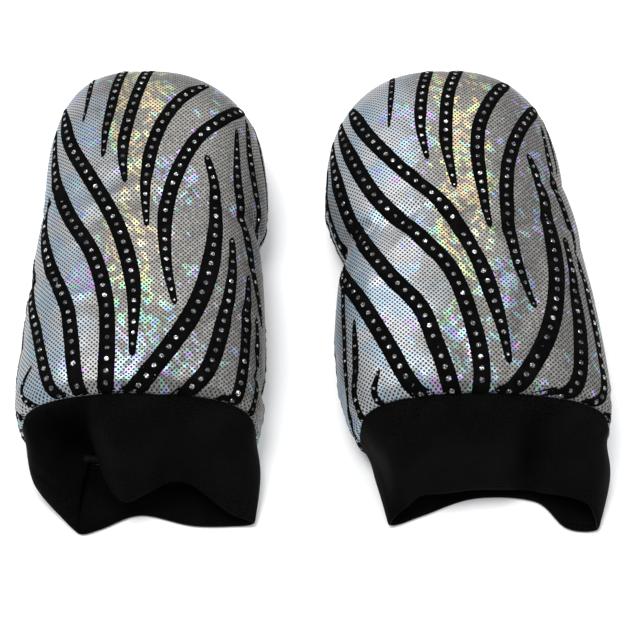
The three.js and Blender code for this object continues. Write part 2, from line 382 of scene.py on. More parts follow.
def node(tree, kind, **values):
    made = tree.nodes.new(kind)
    for key, value in values.items():
        setattr(made, key, value)
    return made


def link(tree, *pairs):
    for out, into in pairs:
        tree.links.new(out, into)


def calc(tree, operation, a, b=None, c=None):
    made = node(tree, "ShaderNodeMath", operation=operation)
    for socket, value in zip(made.inputs, (a, b, c)):
        if value is None:
            continue
        if isinstance(value, (int, float)):
            socket.default_value = value
        else:
            tree.links.new(value, socket)
    return made.outputs[0]


def vector(tree, operation, a, b=None):
    made = node(tree, "ShaderNodeVectorMath", operation=operation)
    for socket, value in zip(made.inputs, (a, b)):
        if isinstance(value, tuple):
            socket.default_value = value
        elif value is not None:
            tree.links.new(value, socket)
    return made.outputs["Value" if operation in ("LENGTH", "DOT_PRODUCT") else "Vector"]


def turned(tree, place, degrees):
    made = node(tree, "ShaderNodeVectorRotate", rotation_type="Z_AXIS")
    made.inputs["Angle"].default_value = math.radians(degrees)
    tree.links.new(place, made.inputs["Vector"])
    return made.outputs[0]


def smooth_range(tree, value, low, high, to_low=0.0, to_high=1.0):
    made = node(tree, "ShaderNodeMapRange", interpolation_type="SMOOTHSTEP")
    made.inputs["From Min"].default_value, made.inputs["From Max"].default_value = low, high
    made.inputs["To Min"].default_value, made.inputs["To Max"].default_value = to_low, to_high
    tree.links.new(value, made.inputs["Value"])
    return made.outputs["Result"]


def mix_colour(tree, factor, a, b):
    made = node(tree, "ShaderNodeMix", data_type="RGBA")
    for socket, value in ((made.inputs["Factor"], factor), (made.inputs["A"], a), (made.inputs["B"], b)):
        if isinstance(value, (int, float, tuple)):
            socket.default_value = value
        else:
            tree.links.new(value, socket)
    return made.outputs["Result"]


def new_finish(name):
    """A finish, with its node tree and its shader."""
    made = bpy.data.materials.new(name)
    made.use_nodes = True
    return made, made.node_tree, made.node_tree.nodes["Principled BSDF"]


def noise(tree, place, scale, detail=2.0, flat=True):
    made = node(tree, "ShaderNodeTexNoise", noise_dimensions="2D" if flat else "3D")
    made.inputs["Scale"].default_value = scale
    made.inputs["Detail"].default_value = detail
    tree.links.new(place, made.inputs["Vector"])
    return made


def add_bump(tree, skin, height, strength, depth):
    bump = node(tree, "ShaderNodeBump")
    bump.inputs["Strength"].default_value = strength
    bump.inputs["Distance"].default_value = depth
    link(tree, (height, bump.inputs["Height"]), (bump.outputs[0], skin.inputs["Normal"]))


# The foil print, in millimetres on the flat cloth, so that it follows the
# panel as the real print does: a net of dots, and long flakes at a slant,
# each with its own chance of a painted glint and its own tilt.
foil_print = bpy.data.node_groups.new("foil_print", "ShaderNodeTree")
for label, way, kind in (
        ("Flat Cloth", "INPUT", "Vector"), ("Dot Pitch", "INPUT", "Float"), ("Flake Length", "INPUT", "Float"),
        ("Dots", "OUTPUT", "Float"), ("Flake", "OUTPUT", "Float"), ("Flake Kind", "OUTPUT", "Float"),
        ("Height", "OUTPUT", "Float")):
    foil_print.interface.new_socket(label, in_out=way, socket_type="NodeSocket" + kind)
t = foil_print
ins, outs = node(t, "NodeGroupInput"), node(t, "NodeGroupOutput")
on_print = ins.outputs["Flat Cloth"]
cell = vector(t, "FRACTION", vector(t, "DIVIDE", turned(t, on_print, 45), ins.outputs["Dot Pitch"]))
distance = vector(t, "LENGTH", vector(t, "SUBTRACT", cell, (0.5, 0.5, 0.0)))
dots = smooth_range(t, distance, 0.27, 0.38, 1.0, 0.0)
sheen_parts = []
for slant, stretch in ((-36.0, (2.6, 1.0, 1.0)), (52.0, (2.1, 0.9, 1.0))):
    sized = vector(t, "DIVIDE", turned(t, on_print, slant), ins.outputs["Flake Length"])
    long = vector(t, "MULTIPLY", sized, stretch)
    shards = node(t, "ShaderNodeTexVoronoi", voronoi_dimensions="2D", distance="CHEBYCHEV")
    shards.inputs["Scale"].default_value = 1.0
    chance = node(t, "ShaderNodeSeparateColor")
    link(t, (long, shards.inputs["Vector"]), (shards.outputs["Color"], chance.inputs[0]))
    slope = vector(t, "SUBTRACT", shards.outputs["Color"], (0.5, 0.5, 0.5))
    tilt = vector(t, "DOT_PRODUCT", vector(t, "SUBTRACT", long, shards.outputs["Position"]), slope)
    sheen_parts.append((chance, tilt))
(first, tilt_a), (second, tilt_b) = sheen_parts
flake = calc(t, "MAXIMUM", first.outputs[0], calc(t, "MULTIPLY", second.outputs[0], 0.93))
kind = calc(t, "FRACT", calc(t, "ADD", first.outputs[1], second.outputs[1]))
height = calc(t, "MULTIPLY_ADD", dots, -0.15, calc(t, "MULTIPLY_ADD", tilt_b, 0.3, calc(t, "MULTIPLY", tilt_a, 0.4)))
link(t, (dots, outs.inputs["Dots"]), (flake, outs.inputs["Flake"]), (kind, outs.inputs["Flake Kind"]),
     (height, outs.inputs["Height"]))


def foil_cloth_material(name, middle, band, shift):
    """Foil cloth. Painted holographic reflections give it gold along a band by
    the middle, and greens, blues and violets by the mouth and in patches. Left
    of the band a painted reflection makes it lighter and bluer."""
    made, t, skin = new_finish(name)
    uv = node(t, "ShaderNodeUVMap")
    flat = node(t, "ShaderNodeMapping")
    flat.inputs["Scale"].default_value = (UV_WIDTH, UV_WIDTH, 1.0)
    flat.inputs["Location"].default_value = (-0.5 * UV_WIDTH - middle, shift, 0.0)
    prints = node(t, "ShaderNodeGroup", node_tree=foil_print)
    prints.inputs["Dot Pitch"].default_value = 1.9
    prints.inputs["Flake Length"].default_value = 5.2
    link(t, (uv.outputs[0], flat.inputs[0]), (flat.outputs[0], prints.inputs["Flat Cloth"]))
    parts = node(t, "ShaderNodeSeparateXYZ")
    link(t, (flat.outputs[0], parts.inputs[0]))
    drift = noise(t, flat.outputs[0], 1 / 24, 3.0)
    clouds = node(t, "ShaderNodeSeparateColor")
    link(t, (drift.outputs["Color"], clouds.inputs[0]))
    # distance from the band, with a wandering edge
    across = calc(t, "MULTIPLY_ADD", clouds.outputs[0], 44.0, calc(t, "ADD", parts.outputs[0], -22.0))
    off_band = calc(t, "ABSOLUTE", across)
    # painted reflection: a gold band by the middle, with patches of colour beside it
    near = calc(t, "MULTIPLY", smooth_range(t, off_band, band * 0.4, band * 1.4, 1.0, 0.0),
                smooth_range(t, clouds.outputs[2], 0.4, 0.56, 0.35, 1.0))
    patches = smooth_range(t, clouds.outputs[1], 0.5, 0.6)
    far_patches = calc(t, "MULTIPLY", patches, smooth_range(t, off_band, band * 1.5, band * 4.5, 0.8, 0.3))
    painted_reflection_zone = calc(t, "MAXIMUM", near, far_patches)
    # painted glint: the likelier a place, the more of its flakes are painted lit in holographic colours
    painted_glint = calc(t, "GREATER_THAN", prints.outputs["Flake"], smooth_range(t, painted_reflection_zone, 0.0, 1.0, 0.98, 0.62))
    strong = calc(t, "MULTIPLY", painted_glint, smooth_range(t, prints.outputs["Flake Kind"], 0.0, 1.0, 0.5, 1.0))
    # the painted glints are gold in the band, and greens, blues and violets by the mouth and in patches
    gold_hue = calc(t, "MULTIPLY_ADD", calc(t, "POWER", prints.outputs["Flake Kind"], 6.0), 0.5, 0.075)
    any_hue = calc(t, "MULTIPLY_ADD", prints.outputs["Flake Kind"], 0.46, 0.36)
    by_mouth = smooth_range(t, parts.outputs[1], shift + 45.0, shift + 125.0, 1.0, 0.0)
    hue = node(t, "ShaderNodeMix", data_type="FLOAT")
    off_gold = calc(t, "MAXIMUM", by_mouth, smooth_range(t, off_band, band * 0.7, band * 1.1))
    link(t, (off_gold, hue.inputs["Factor"]), (gold_hue, hue.inputs["A"]), (any_hue, hue.inputs["B"]))
    tint = node(t, "ShaderNodeCombineColor", mode="HSV")
    link(t, (hue.outputs["Result"], tint.inputs[0]))
    tint.inputs[1].default_value = 0.56
    tint.inputs[2].default_value = 0.64
    grain = noise(t, flat.outputs[0], 0.45, 4.0)
    silver = mix_colour(t, smooth_range(t, grain.outputs[0], 0.3, 0.7),
                        (0.15, 0.146, 0.138, 1.0), (0.25, 0.243, 0.23, 1.0))
    # painted reflection: left of the band the foil is painted lighter and bluer
    side = smooth_range(t, across, -band * 3.2, -band * 0.6, 1.0, 0.0)
    blue = calc(t, "MULTIPLY", side, smooth_range(t, clouds.outputs[2], 0.4, 0.58, 0.1, 0.85))
    light = mix_colour(t, calc(t, "MULTIPLY", side, 0.8), silver, (0.52, 0.52, 0.525, 1.0))
    cool = mix_colour(t, blue, light, (0.31, 0.41, 0.49, 1.0))
    # painted reflection: a warm gold cast along the band, less of it by the mouth
    painted_warm_share = calc(t, "MULTIPLY", near, calc(t, "MULTIPLY_ADD", by_mouth, -0.28, 0.36))
    warm = mix_colour(t, painted_warm_share, cool, (0.38, 0.34, 0.27, 1.0))
    # the flakes with painted glints take their holographic colours here
    coloured = mix_colour(t, strong, warm, tint.outputs[0])
    final = mix_colour(t, prints.outputs["Dots"], coloured, (0.02, 0.0192, 0.018, 1.0))
    metal = calc(t, "MULTIPLY_ADD", prints.outputs["Dots"], -0.6, 0.65)
    rough = calc(t, "MULTIPLY_ADD", prints.outputs["Dots"], 0.3, calc(t, "MULTIPLY_ADD", painted_glint, -0.06, 0.46))
    link(t, (final, skin.inputs["Base Color"]), (metal, skin.inputs["Metallic"]), (rough, skin.inputs["Roughness"]))
    add_bump(t, skin, prints.outputs["Height"], 0.6, 0.0006)
    skin.inputs["Specular IOR Level"].default_value = 0.3
    return made


for cover, middle, band, shift in (("left", -4.0, 15.0, 0.0), ("right", 2.0, 17.0, 71.0)):
    foil = foil_cloth_material(cover + "_foil_cloth", middle, band, shift)
    top_cloths[cover].data.materials.append(foil)
    base_cloths[cover].data.materials.append(foil)


# ---------------------------------------------------------------------------
# Stripes. Black flock is printed on the cloth in long zebra stripes that
# taper to points, and run into the seams. Each stripe is given by a few
# points: millimetres right of the crown line, and along it from the mouth.
def crown_run(cover):
    line = FORMS[cover][:, HALF_TOP]
    return np.r_[0, np.cumsum(np.linalg.norm(np.diff(line, axis=0), axis=1))]


def quarter_runs(cover):
    """Length of each quarter of each ring, from the crown line or base middle."""
    form = FORMS[cover]
    closed = np.concatenate([form, form[:, :1]], axis=1)
    steps = np.linalg.norm(np.diff(closed, axis=1), axis=2)
    cuts = np.cumsum([0, HALF_TOP, HALF_TOP, HALF_BASE, HALF_BASE])
    return [steps[:, a:b].sum(axis=1) for a, b in zip(cuts, cuts[1:])]


def cloth_place(cover, across, along, back=False):
    """Column and row of a place on the cloth, given in millimetres from the
    crown line, or from the base's middle line, and from the mouth."""
    runs = crown_run(cover)
    row = np.interp(along, runs, np.arange(ALONG + 1.0))
    left, right, base_right, base_left = [np.maximum(np.interp(row, np.arange(ALONG + 1.0), q), 1.0)
                                          for q in quarter_runs(cover)]
    if back:
        return 2 * HALF_TOP + HALF_BASE - across * HALF_BASE / np.where(across > 0, base_right, base_left), row
    column = np.where(across > 0, HALF_TOP + across * HALF_TOP / right, HALF_TOP + across * HALF_TOP / left)
    over = np.where(across > right, 2 * HALF_TOP + (across - right) * HALF_BASE / base_right, column)
    return np.where(-across > left, (left + across) * HALF_BASE / base_left, over), row


def smooth_line(points, step):
    """A smooth curve through a few points, in even steps."""
    p = np.array(points, float)
    p = np.concatenate([[2 * p[0] - p[1]], p, [2 * p[-1] - p[-2]]])
    parts = []
    for i in range(1, len(p) - 2):
        w = easing(np.linspace(0, 1, 24, endpoint=False))
        parts.append(w.T @ p[i - 1:i + 3])
    line = np.concatenate(parts + [p[-2:-1]])
    run = np.r_[0, np.cumsum(np.linalg.norm(np.diff(line, axis=0), axis=1))]
    count = max(6, int(run[-1] / step))
    even = np.linspace(0, run[-1], count + 1)
    return np.stack([np.interp(even, run, line[:, k]) for k in range(2)], -1), even


def stripe_shape(points, width, start_taper, end_taper):
    if not end_taper:
        (xa, ya), (xb, yb) = points[-2:]
        reach = 0.9 * width / math.hypot(xb - xa, yb - ya)
        points = points + [(xb + (xb - xa) * reach, yb + (yb - ya) * reach)]
    line, run = smooth_line(points, 1.8)
    wide = np.full(len(run), float(width))
    for taper, from_end in ((start_taper, run), (end_taper, run[-1] - run)):
        if taper:
            wide *= 0.34 + 0.66 * np.clip(from_end / taper, 0.0, 1.0) ** 0.85
            tip = np.clip(from_end / (0.34 * width), 0.0, 1.0)
            wide *= np.maximum(0.03, np.sqrt(1 - (1 - tip) ** 2))
    return line, run, wide


# points, greatest width, length of the taper at the start and at the end
TOP_STRIPES = {
    "left": [
        ([(-34, 250), (-38, 236), (-43, 210), (-46, 188)], 3.6, 22, 26),
        ([(-12, 258), (-18, 235), (-26, 208), (-30, 180), (-30, 158)], 7.0, 22, 38),
        ([(6, 258), (-6, 224), (-14, 199), (-18, 175), (-18, 157), (-15, 138)], 8.0, 22, 32),
        ([(34, 222), (16, 204), (5, 186), (-1, 165), (-3, 136), (0, 106)], 8.7, 16, 50),
        ([(60, 212), (38, 188), (22, 166), (12, 134), (10, 108), (13, 80), (19, 55)], 9.2, 14, 60),
        ([(-66, 214), (-54, 176), (-37, 145), (-20, 114), (-10, 88), (-4, 60), (-2, 22)], 9.6, 26, 52),
        ([(-70, 194), (-62, 152), (-48, 121), (-30, 90), (-20, 60), (-16, 30), (-15, 0)], 9.4, 50, 0),
        ([(-69, 144), (-66, 115), (-55, 85), (-42, 58), (-36, 34), (-32, 12), (-28, 0)], 8.8, 42, 0),
        ([(-78, 106), (-74, 80), (-63, 54), (-54, 30), (-47, 11), (-38, 0)], 7.2, 34, 0),
        ([(-84, 120), (-79, 80), (-80, 40), (-84, 10)], 2.6, 22, 16),
        ([(-60, 26), (-68, 15), (-61, 6), (-55, 0)], 3.8, 14, 0),
        ([(-94, 17), (-80, 10), (-68, 0)], 4.4, 8, 0),
        ([(-106, 10), (-92, 6), (-80, 0)], 5.5, 10, 0),
        ([(31, 160), (37, 138), (39, 110), (36, 76), (27, 46), (12, 19), (-3, 0)], 11.0, 76, 0),
        ([(49, 106), (50, 82), (47, 52), (40, 20), (30, 6), (24, 0)], 9.3, 60, 0),
        ([(49, 186), (51, 146), (58, 118), (65, 90), (75, 60)], 6.2, 44, 40),
        ([(57, 200), (59, 170), (66, 142), (80, 118)], 5.4, 34, 30),
        ([(66, 202), (73, 174), (84, 148)], 3.2, 22, 22),
        ([(61, 86), (61, 58), (60, 30), (56, 8), (46, 0)], 7.4, 34, 0),
        ([(68, 62), (72, 36), (71, 15), (64, 0)], 4.6, 18, 0),
        ([(92, 196), (90, 150), (97, 96), (92, 50), (98, 14)], 6.5, 45, 40),
        ([(-92, 214), (-88, 166), (-96, 120), (-93, 60), (-98, 22)], 6.5, 45, 40),
    ],
    "right": [
        ([(-36, 248), (-37, 226), (-39, 204), (-41, 181)], 4.0, 22, 26),
        ([(-10, 256), (-15, 230), (-20, 205), (-22, 180), (-19, 155)], 7.8, 22, 36),
        ([(10, 258), (3, 230), (-4, 205), (-7, 180), (-7, 160), (-4, 134)], 8.4, 22, 38),
        ([(38, 228), (21, 200), (12, 175), (11, 142), (14, 105)], 8.8, 12, 46),
        ([(58, 212), (38, 180), (28, 150), (25, 115), (28, 82), (36, 54)], 8.8, 14, 56),
        ([(-68, 212), (-56, 182), (-38, 154), (-12, 122), (5, 86), (14, 50), (18, 18)], 9.6, 20, 46),
        ([(-78, 206), (-66, 168), (-50, 132), (-25, 99), (-9, 76), (-1, 47), (3, 20), (2, 0)], 9.8, 42, 0),
        ([(-84, 192), (-76, 153), (-66, 118), (-46, 80), (-28, 54), (-20, 28), (-12, 0)], 9.8, 42, 0),
        ([(-88, 172), (-90, 132), (-80, 98), (-62, 66), (-47, 34), (-37, 12), (-27, 0)], 9.6, 44, 0),
        ([(-80, 112), (-75, 72), (-76, 30), (-84, 14), (-94, 0)], 3.8, 26, 0),
        ([(-66, 56), (-67, 30), (-71, 15), (-66, 0)], 4.6, 18, 0),
        ([(-52, 21), (-56, 10), (-50, 0)], 4.0, 10, 0),
        ([(42, 164), (49, 132), (51, 96), (49, 66), (40, 36), (26, 12), (14, 0)], 10.6, 62, 0),
        ([(56, 192), (58, 160), (62, 132), (73, 104)], 5.2, 38, 34),
        ([(60, 108), (62, 76), (61, 40), (56, 14), (46, 3), (38, 0)], 9.4, 62, 0),
        ([(69, 106), (73, 70), (75, 40), (74, 14), (60, 0)], 6.2, 40, 0),
        ([(61, 202), (66, 160)], 2.8, 18, 18),
        ([(94, 14), (84, 4), (76, 0)], 4.0, 8, 0),
        ([(96, 190), (92, 146), (99, 100), (94, 52), (99, 22)], 6.5, 45, 40),
        ([(-100, 200), (-104, 150), (-98, 96), (-102, 44), (-106, 16)], 6.0, 45, 40),
    ],
}
# The back is out of sight as worn, and has the same print, cut as it falls.
BACK_STRIPES = [
    ([(-58, 6), (-44, 40), (-40, 80), (-52, 118), (-60, 150)], 8.5, 0, 50),
    ([(-34, 0), (-22, 36), (-18, 78), (-30, 120), (-44, 158)], 9.2, 0, 50),
    ([(-12, 0), (0, 34), (6, 76), (-4, 122), (-22, 168), (-34, 200)], 9.6, 0, 56),
    ([(16, 0), (24, 34), (30, 78), (20, 126), (2, 172), (-8, 208)], 9.4, 0, 52),
    ([(44, 0), (50, 40), (54, 86), (44, 130), (26, 172), (16, 204)], 9.0, 0, 52),
    ([(66, 30), (68, 78), (62, 124), (46, 166), (38, 196)], 7.8, 40, 46),
    ([(-66, 70), (-62, 40), (-66, 14)], 5.0, 26, 18),
    ([(64, 150), (56, 178), (50, 204)], 5.5, 24, 24),
    ([(-56, 176), (-48, 204), (-40, 226)], 5.0, 24, 20),
    ([(20, 252), (18, 232), (14, 214)], 6.0, 22, 22),
    ([(-12, 254), (-14, 232), (-18, 212)], 6.0, 22, 22),
]
# a stripe's cross-section: lift off the cloth, and share of the half width
STRIPE_LIFT = 0.28
EDGE_LIFT = np.array([-0.35, 0.16, STRIPE_LIFT, STRIPE_LIFT, 0.16, -0.35])
REACH = np.array([-1.0, -0.96, -0.4, 0.4, 0.96, 1.0])
stripe_lines = {cover: [(False, stripe) for stripe in TOP_STRIPES[cover]] + [(True, stripe) for stripe in BACK_STRIPES]
                for cover in COVERS}


def across_step(cover, line, back):
    """For each point of a line on the cloth, the step across it that is one
    millimetre long on the cloth."""
    d = 0.5

    def at(p):
        return on_cloth(cover, *cloth_place(cover, p[:, 0], p[:, 1], back))

    inner = np.maximum(line, [-1e3, 1.0])
    by_a = (at(inner + [d, 0]) - at(inner - [d, 0])) / (2 * d)
    by_b = (at(inner + [0, d]) - at(inner - [0, d])) / (2 * d)
    ahead = np.gradient(line, axis=0)
    g11, g12, g22 = (by_a * by_a).sum(1), (by_a * by_b).sum(1), (by_b * by_b).sum(1)
    down_a = g11 * ahead[:, 0] + g12 * ahead[:, 1]
    down_b = g12 * ahead[:, 0] + g22 * ahead[:, 1]
    side = np.stack([down_b, -down_a], -1)
    square = g11 * side[:, 0] ** 2 + 2 * g12 * side[:, 0] * side[:, 1] + g22 * side[:, 1] ** 2
    return side / np.sqrt(np.maximum(square, 1e-9))[:, None]


def join(pieces, name):
    """Puts several meshes into one piece."""
    shape = bmesh.new()
    for piece in pieces:
        shape.from_mesh(piece.data)
        bpy.data.objects.remove(piece)
    bmesh.ops.dissolve_degenerate(shape, edges=shape.edges, dist=1e-5)
    return as_piece(shape, name)


stripe_pieces = {}
for cover in COVERS:
    laid = []
    for back, stripe in stripe_lines[cover]:
        line, run, wide = stripe_shape(*stripe)
        side = across_step(cover, line, back)

        def place(u, v):
            k, j = np.rint(v * (len(run) - 1)).astype(int), np.rint(u * 5).astype(int)
            spot = line[k] + side[k] * (REACH[j] * wide[k] / 2)[:, None]
            around, along = cloth_place(cover, spot[:, 0], np.maximum(spot[:, 1], 0.0), back)
            sunk = np.clip(spot[:, 1] / 1.5, 0, 1)
            return on_cloth(cover, around, along, EDGE_LIFT[j] * sunk - 0.3 * (1 - sunk) + relief(around, along))

        laid.append(sewn_patch("stripe", 5, len(run) - 1, place))
    stripes = stripe_pieces[cover] = join(laid, cover + "_flock_stripes")
    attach(stripes, cover + "_cover")

flock, t, skin = new_finish("black_flock")
place_in = node(t, "ShaderNodeTexCoord").outputs["Object"]
pile, patches = noise(t, place_in, 2600.0, flat=False), noise(t, place_in, 140.0, flat=False)
soot = mix_colour(t, pile.outputs[0], (0.0004, 0.0004, 0.0005, 1.0), (0.003, 0.0029, 0.003, 1.0))
# lighter in random patches
paler_patches = smooth_range(t, patches.outputs[0], 0.4, 0.7, 0.0, 0.5)
link(t, (mix_colour(t, paler_patches, soot, (0.005, 0.0048, 0.005, 1.0)), skin.inputs["Base Color"]),
     (smooth_range(t, pile.outputs[0], 0.3, 0.7, 0.82, 0.98), skin.inputs["Roughness"]))
skin.inputs["Specular IOR Level"].default_value = 0.02
add_bump(t, skin, pile.outputs[0], 0.5, 0.0003)
for stripes in stripe_pieces.values():
    stripes.data.materials.append(flock)


# ---------------------------------------------------------------------------
# Glitter dots. A row of small round silver glitter dots is stuck down the
# middle of each stripe. They get smaller where it narrows, and a painted
# glint makes some of them brighter than others.
DOT_PITCH, DOT_RADIUS, DOT_HEIGHT = 6.7, 1.5, 0.35
dot_pieces = {}
for cover in COVERS:
    rows_of_dots, count = [], 0
    for back, stripe in stripe_lines[cover]:
        line, run, wide = stripe_shape(*stripe)
        starts = np.arange(3.0, run[-1] - 1.5, DOT_PITCH)
        starts = starts[np.interp(starts, run, line[:, 1]) > 2.5]
        radii = np.minimum(DOT_RADIUS, 0.24 * np.interp(starts, run, wide))
        starts, radii = starts[radii > 0.45], radii[radii > 0.45]
        around, along = cloth_place(cover, np.interp(starts, run, line[:, 0]), np.interp(starts, run, line[:, 1]), back)
        below = on_cloth(cover, around, along, relief(around, along) + STRIPE_LIFT - 0.15)
        above = on_cloth(cover, around, along, relief(around, along) + STRIPE_LIFT + 0.85)
        shape = bmesh.new()
        # each dot's share of the painted glint, kept on its points
        shine = shape.verts.layers.float.new("shine")
        for radius, foot, tip in zip(radii, below, above):
            count += 1
            chance = abs(math.sin(count * 12.9898) * 43758.5453) % 1.0
            disc = bmesh.ops.create_cone(shape, cap_ends=True, segments=10, depth=DOT_HEIGHT * MM,
                                         radius1=radius * MM, radius2=radius * 0.72 * MM)
            aim = Vector(tip - foot).to_track_quat("Z", "Y").to_matrix().to_4x4()
            bmesh.ops.rotate(shape, verts=disc["verts"], cent=(0, 0, 0), matrix=aim)
            bmesh.ops.translate(shape, verts=disc["verts"], vec=Vector(foot + (tip - foot) * 0.5 * DOT_HEIGHT) * MM)
            for v in disc["verts"]:
                v[shine] = chance
        mesh = bpy.data.meshes.new("dots")
        shape.to_mesh(mesh)
        shape.free()
        rows_of_dots.append(bpy.data.objects.new("dots", mesh))
    glitter_dots = dot_pieces[cover] = join(rows_of_dots, cover + "_glitter_dots")
    glitter_dots.data.shade_flat()
    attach(glitter_dots, cover + "_cover")

glitter, t, skin = new_finish("silver_glitter")
painted_glint_chance = node(t, "ShaderNodeAttribute", attribute_name="shine")
place_in = node(t, "ShaderNodeTexCoord")
specks = node(t, "ShaderNodeTexVoronoi")
specks.inputs["Scale"].default_value = 1500.0
link(t, (place_in.outputs["Object"], specks.inputs["Vector"]))
speck = node(t, "ShaderNodeSeparateColor")
link(t, (specks.outputs["Color"], speck.inputs[0]))
# painted glint: each dot's colour runs from near black to bright silver by its share and by the specks
painted_glint = calc(t, "MULTIPLY", smooth_range(t, painted_glint_chance.outputs["Fac"], 0.2, 1.0, 0.3, 1.0),
           smooth_range(t, speck.outputs[0], 0.55, 0.9, 0.09, 1.0))
link(t, (mix_colour(t, painted_glint, (0.02, 0.02, 0.022, 1.0), (0.95, 0.95, 0.96, 1.0)), skin.inputs["Base Color"]))
skin.inputs["Metallic"].default_value = 0.8
link(t, (smooth_range(t, speck.outputs[1], 0.0, 1.0, 0.18, 0.5), skin.inputs["Roughness"]))
add_bump(t, skin, speck.outputs[2], 0.8, 0.0003)
for glitter_dots in dot_pieces.values():
    glitter_dots.data.materials.append(glitter)

for cover in COVERS:
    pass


# ---------------------------------------------------------------------------
# Cuffs. Each mouth has a cuff of thick black satin knit, doubled, with the
# fold as its hem. It narrows towards the hem and lies flat below. The left
# cuff has fallen into a deep tuck, and the right one has a soft hollow.
CUFF_WALL, CUFF_SPACE, CUFF_LOWEST = 1.0, 0.5, 1.35
CUFF_ROUND, CUFF_STRIP = 300.0, 104.0
OUTER_SHARE, HEM_SHARE = 0.47, 0.06
# turns round the mouth from the left seam, halfway point, and hem point:
# millimetres right of the cover's middle, from the mouth seam towards the
# closed end (so mostly below 0), and up
CUFFS = {
    "left": [
        (0.00, (-57, -18, 19), (-35, -34, 4)), (0.045, (-51, -15, 23), (-34, -22, 7)),
        (0.085, (-45, -3, 15), (-32, -8, 7)), (0.12, (-40, 4, 11), (-31, -3, 7)),
        (0.15, (-34, 5, 13), (-28, -2, 9)), (0.175, (-27, 2, 33), (-23, -10, 20)),
        (0.20, (-22, -6, 45), (-17, -25, 23)), (0.23, (-11, -12, 47), (-8, -35, 19)),
        (0.28, (3, -12, 45), (4, -31, 20)),
        (0.34, (18, -10, 43), (17, -24, 20)), (0.39, (33, -12, 39), (29, -25, 17)),
        (0.45, (54, -14, 29), (48, -38, 12)), (0.50, (64, -17, 15), (61, -41, 5)),
        (0.56, (59, -20, 3), (55, -42, 1.4)), (0.65, (35, -22, 1.4), (29, -42, 1.4)),
        (0.75, (2, -20, 1.4), (0, -36, 1.4)), (0.86, (-30, -22, 1.4), (-22, -44, 1.4)),
        (0.93, (-51, -24, 3), (-32, -47, 1.6)), (0.965, (-57, -23, 10), (-35, -44, 2.4)),
    ],
    "right": [
        (0.00, (-50, -14, 17), (-43, -40, 7)), (0.07, (-44, -18, 32), (-37, -36, 11)),
        (0.13, (-32, -16, 42), (-28, -30, 15)), (0.19, (-16, -12, 46), (-15, -29, 16)),
        (0.25, (0, -10, 47), (0, -27, 16)), (0.31, (18, -10, 45), (17, -26, 14)),
        (0.35, (31, -8, 26), (31, -23, 6)), (0.39, (42, -12, 34), (41, -27, 11)),
        (0.43, (55, -13, 33), (51, -30, 14)), (0.48, (70, -15, 25), (63, -34, 13)),
        (0.52, (76, -17, 13), (68, -41, 6)), (0.56, (73, -20, 4), (67, -45, 1.8)),
        (0.62, (58, -22, 1.4), (52, -43, 1.4)), (0.68, (37, -16, 1.4), (37, -28, 1.4)),
        (0.75, (4, -16, 1.4), (4, -26, 1.4)), (0.84, (-28, -18, 1.4), (-26, -36, 1.4)),
        (0.91, (-47, -18, 2.5), (-39, -41, 1.6)), (0.955, (-51, -16, 8), (-44, -42, 3)),
    ],
}


def round_the_hem(rows, turns, which):
    """A smooth closed curve through the cuff's points, at the given turns."""
    at = np.array([r[0] for r in rows])
    spots = np.array([r[which] for r in rows], float)
    at = np.r_[at[-2:] - 1, at, at[:3] + 1]
    spots = np.concatenate([spots[-2:], spots, spots[:3]])
    k = np.clip(np.searchsorted(at, turns, side="right") - 1, 1, len(at) - 3)
    t = ((turns - at[k]) / (at[k + 1] - at[k]))[:, None]
    span = (at[k + 1] - at[k])[:, None]
    m0 = (spots[k + 1] - spots[k - 1]) / (at[k + 1] - at[k - 1])[:, None] * span
    m1 = (spots[k + 2] - spots[k]) / (at[k + 2] - at[k])[:, None] * span
    return ((2 * t ** 3 - 3 * t ** 2 + 1) * spots[k] + (t ** 3 - 2 * t ** 2 + t) * m0
            + (3 * t ** 2 - 2 * t ** 3) * spots[k + 1] + (t ** 3 - t ** 2) * m1)


def turn_to_column(turns):
    """The mouth's halves each take half a turn, over the crown and the base."""
    turns = turns % 1.0
    return np.where(turns < 0.5, turns * 4 * HALF_TOP, 2 * HALF_TOP + (turns - 0.5) * 4 * HALF_BASE)


def cuff_middle(cover, turns, down):
    """The middle of the cuff's double wall, down from the seam (0) to the hem (1)."""
    seam = on_cloth(cover, turn_to_column(turns), np.zeros_like(turns), np.full_like(turns, -2.6))
    base = np.array([COVERS[cover]["middle"], MOUTH, 0.0])
    half = round_the_hem(CUFFS[cover], turns % 1.0, 1) + base
    hem = round_the_hem(CUFFS[cover], turns % 1.0, 2) + base
    pull = (8 * half - seam - hem) / 6
    d = down[:, None]
    point = (1 - d) ** 3 * seam + 3 * (1 - d) * d * pull + d ** 3 * hem
    point[:, 2] = np.maximum(point[:, 2], CUFF_LOWEST)
    return point


def cuff_wall(cover, turns, down, lift):
    e = 0.004
    low, high = np.clip(down - 0.02, 0, 1), np.clip(down + 0.02, 0, 1)
    round_it = cuff_middle(cover, turns + e, down) - cuff_middle(cover, turns - e, down)
    along_it = cuff_middle(cover, turns, low) - cuff_middle(cover, turns, high)
    out = np.cross(round_it, along_it)
    out /= np.maximum(np.linalg.norm(out, axis=1, keepdims=True), 1e-9)
    return cuff_middle(cover, turns, down) + out * lift[:, None]


